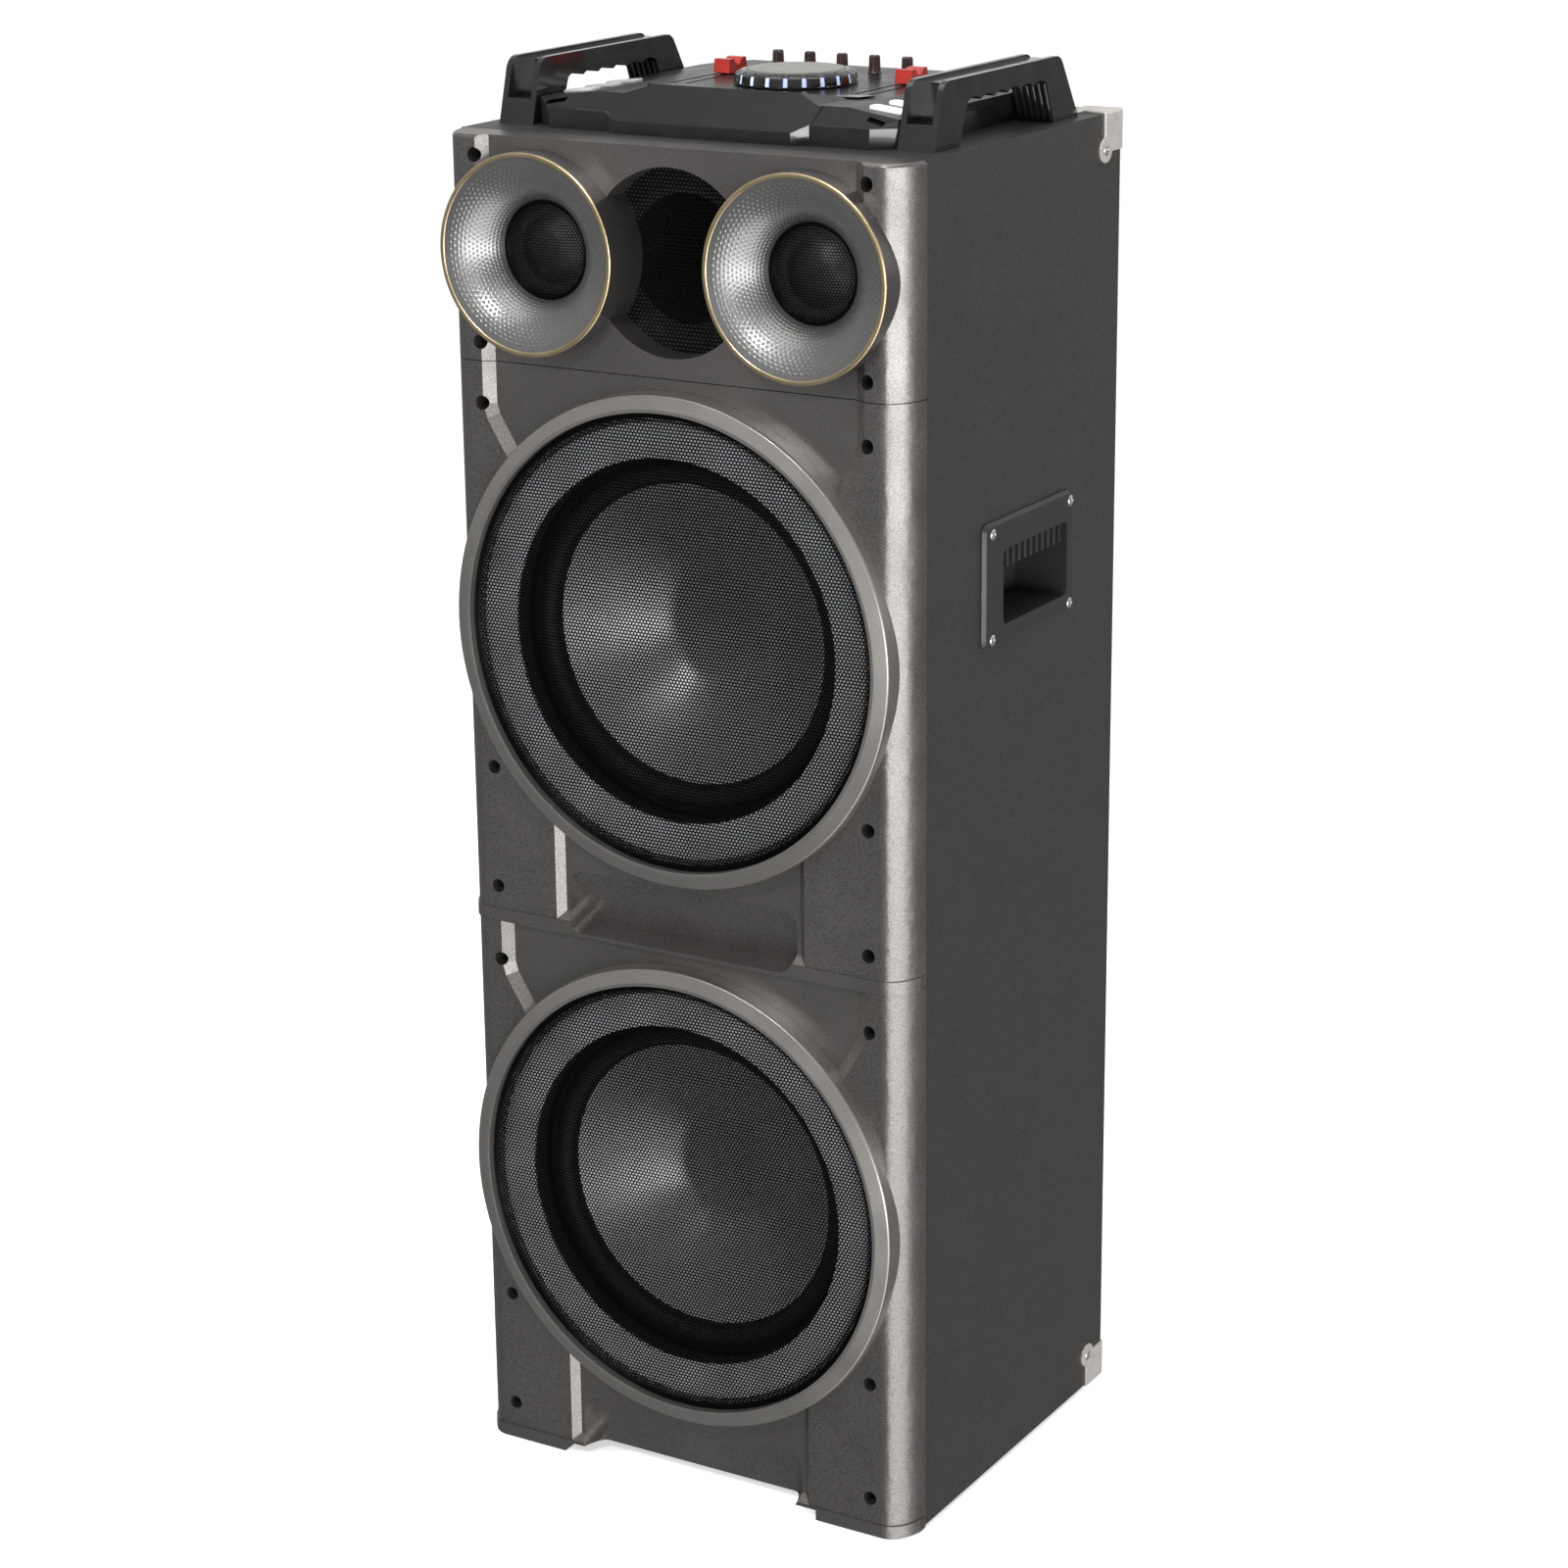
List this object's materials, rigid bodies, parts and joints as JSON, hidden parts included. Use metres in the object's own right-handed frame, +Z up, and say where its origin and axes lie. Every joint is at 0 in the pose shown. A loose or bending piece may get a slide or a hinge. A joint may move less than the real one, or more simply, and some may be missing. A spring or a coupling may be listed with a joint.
{
  "type": "party speaker",
  "caption": "Tall floor-standing party speaker with stacked round woofers, twin horns, a port, carry handles and a control console on its top.",
  "frame": {"origin": "on the floor under the middle of the whole object", "axes": "+X is the right side seen from the front, the front faces -Y, +Z is up"},
  "size_m": [0.3904, 0.3484, 1.0655],
  "materials": {
    "cabinet_vinyl": "black fine-grained vinyl over fibreboard",
    "silver_fascia": "gunmetal silver metallic paint",
    "silver_ring": "lighter silver metallic paint",
    "dark_steel": "black oxide",
    "black_mesh": "perforated steel, satin black",
    "grey_trim": "blue-grey satin",
    "magnet_iron": "ferrite and plated steel",
    "black_rubber": "matt",
    "cone_paper": "silver-grey coated cone",
    "horn_silver": "silver metallic flare, dark housing",
    "gold_trim": "pale gold, satin",
    "black_plastic": "fine texture",
    "gloss_black": "gloss",
    "nickel": "nickel plated",
    "bright_steel": "plated",
    "deck_satin": "satin, finely textured",
    "disc_grey": "satin spun grey",
    "red_plastic": "semi-gloss",
    "pad_white": "translucent silicone",
    "pad_grey": "translucent silicone",
    "knob_black": "black with a dark red sheen",
    "panel_metal": "black powder coat",
    "board_green": "circuit board with parts"
  },
  "bodies": {
    "cabinet": {"side_panel_left": "cabinet_vinyl", "side_panel_right": "cabinet_vinyl", "top_panel": "cabinet_vinyl", "bottom_panel": "cabinet_vinyl", "rear_panel": "cabinet_vinyl", "front_baffle": "cabinet_vinyl", "fascia_upper": "silver_fascia", "fascia_middle": "silver_fascia", "fascia_lower": "silver_fascia", "fascia_screws": "dark_steel", "woofer_ring_upper": "silver_ring", "woofer_grille_upper": "black_mesh", "woofer_trim_upper": "grey_trim", "woofer_basket_upper": "dark_steel", "woofer_magnet_upper": "magnet_iron", "woofer_surround_upper": "black_rubber", "woofer_ring_lower": "silver_ring", "woofer_grille_lower": "black_mesh", "woofer_trim_lower": "grey_trim", "woofer_basket_lower": "dark_steel", "woofer_magnet_lower": "magnet_iron", "woofer_surround_lower": "black_rubber", "horn_left": "horn_silver", "tweeter_driver_left": "magnet_iron", "side_handle_left": "black_plastic", "top_handle_left": "gloss_black", "horn_right": "horn_silver", "tweeter_driver_right": "magnet_iron", "side_handle_right": "black_plastic", "top_handle_right": "gloss_black", "horn_trims": "gold_trim", "tweeter_grilles": "black_mesh", "port_grille": "black_mesh", "port_tube": "black_plastic", "corner_protectors": "nickel", "cabinet_screws": "bright_steel", "rubber_feet": "black_rubber", "console_base": "gloss_black", "console_deck": "deck_satin", "amp_panel": "panel_metal", "rear_sockets": "black_plastic", "amplifier_module": "board_green"},
    "woofer_cone_upper": {"woofer_cone_upper": "cone_paper"},
    "woofer_cone_lower": {"woofer_cone_lower": "cone_paper"},
    "jog": {"jog_wheel": "gloss_black", "jog_disc": "disc_grey"},
    "fader_left": {"fader_left": "red_plastic"},
    "pad_left_1": {"pad_left_1": "pad_grey"},
    "pad_left_2": {"pad_left_2": "pad_grey"},
    "pad_left_3": {"pad_left_3": "pad_grey"},
    "fader_right": {"fader_right": "red_plastic"},
    "pad_right_1": {"pad_right_1": "pad_white"},
    "pad_right_2": {"pad_right_2": "pad_white"},
    "pad_right_3": {"pad_right_3": "pad_white"},
    "knob_1": {"knob_1": "knob_black"},
    "knob_2": {"knob_2": "knob_black"},
    "knob_3": {"knob_3": "knob_black"},
    "knob_4": {"knob_4": "knob_black"},
    "knob_5": {"knob_5": "knob_black"},
    "power_switch": {"power_switch": "gloss_black"}
  },
  "joints": [
    {"name": "woofer_upper_stroke", "type": "slide", "parent": "cabinet", "child": "woofer_cone_upper", "axis": [0, -1, 0], "range_m": [-0.004, 0.004], "stiffness_N_per_m": 2500},
    {"name": "woofer_lower_stroke", "type": "slide", "parent": "cabinet", "child": "woofer_cone_lower", "axis": [0, -1, 0], "range_m": [-0.004, 0.004], "stiffness_N_per_m": 2500},
    {"name": "jog_spin", "type": "hinge", "parent": "cabinet", "child": "jog", "pos_m": [0, 0.01865, 1.044], "axis": [0, 0, 1], "continuous": true},
    {"name": "fader_left_slide", "type": "slide", "parent": "cabinet", "child": "fader_left", "axis": [0, 1, 0], "range_m": [-0.066, 0.021]},
    {"name": "fader_right_slide", "type": "slide", "parent": "cabinet", "child": "fader_right", "axis": [0, 1, 0], "range_m": [-0.066, 0.021]},
    {"name": "knob_1_turn", "type": "hinge", "parent": "cabinet", "child": "knob_1", "pos_m": [-0.0548, 0.08565, 1.044], "axis": [0, 0, 1], "range_deg": [-150, 150]},
    {"name": "knob_2_turn", "type": "hinge", "parent": "cabinet", "child": "knob_2", "pos_m": [-0.0274, 0.08565, 1.044], "axis": [0, 0, 1], "range_deg": [-150, 150]},
    {"name": "knob_3_turn", "type": "hinge", "parent": "cabinet", "child": "knob_3", "pos_m": [0, 0.08565, 1.044], "axis": [0, 0, 1], "range_deg": [-150, 150]},
    {"name": "knob_4_turn", "type": "hinge", "parent": "cabinet", "child": "knob_4", "pos_m": [0.0274, 0.08565, 1.044], "axis": [0, 0, 1], "range_deg": [-150, 150]},
    {"name": "knob_5_turn", "type": "hinge", "parent": "cabinet", "child": "knob_5", "pos_m": [0.0548, 0.08565, 1.044], "axis": [0, 0, 1], "range_deg": [-150, 150]},
    {"name": "pad_left_1_press", "type": "slide", "parent": "cabinet", "child": "pad_left_1", "axis": [0.1149, 0, -0.9934], "range_m": [0, 0.0012], "stiffness_N_per_m": 500},
    {"name": "pad_left_2_press", "type": "slide", "parent": "cabinet", "child": "pad_left_2", "axis": [0.1149, 0, -0.9934], "range_m": [0, 0.0012], "stiffness_N_per_m": 500},
    {"name": "pad_left_3_press", "type": "slide", "parent": "cabinet", "child": "pad_left_3", "axis": [0.1149, 0, -0.9934], "range_m": [0, 0.0012], "stiffness_N_per_m": 500},
    {"name": "pad_right_1_press", "type": "slide", "parent": "cabinet", "child": "pad_right_1", "axis": [-0.1149, 0, -0.9934], "range_m": [0, 0.0012], "stiffness_N_per_m": 500},
    {"name": "pad_right_2_press", "type": "slide", "parent": "cabinet", "child": "pad_right_2", "axis": [-0.1149, 0, -0.9934], "range_m": [0, 0.0012], "stiffness_N_per_m": 500},
    {"name": "pad_right_3_press", "type": "slide", "parent": "cabinet", "child": "pad_right_3", "axis": [-0.1149, 0, -0.9934], "range_m": [0, 0.0012], "stiffness_N_per_m": 500},
    {"name": "power_switch_rock", "type": "hinge", "parent": "cabinet", "child": "power_switch", "pos_m": [0.04, 0.15865, 0.153], "axis": [1, 0, 0], "range_deg": [0, 16]}
  ]
}
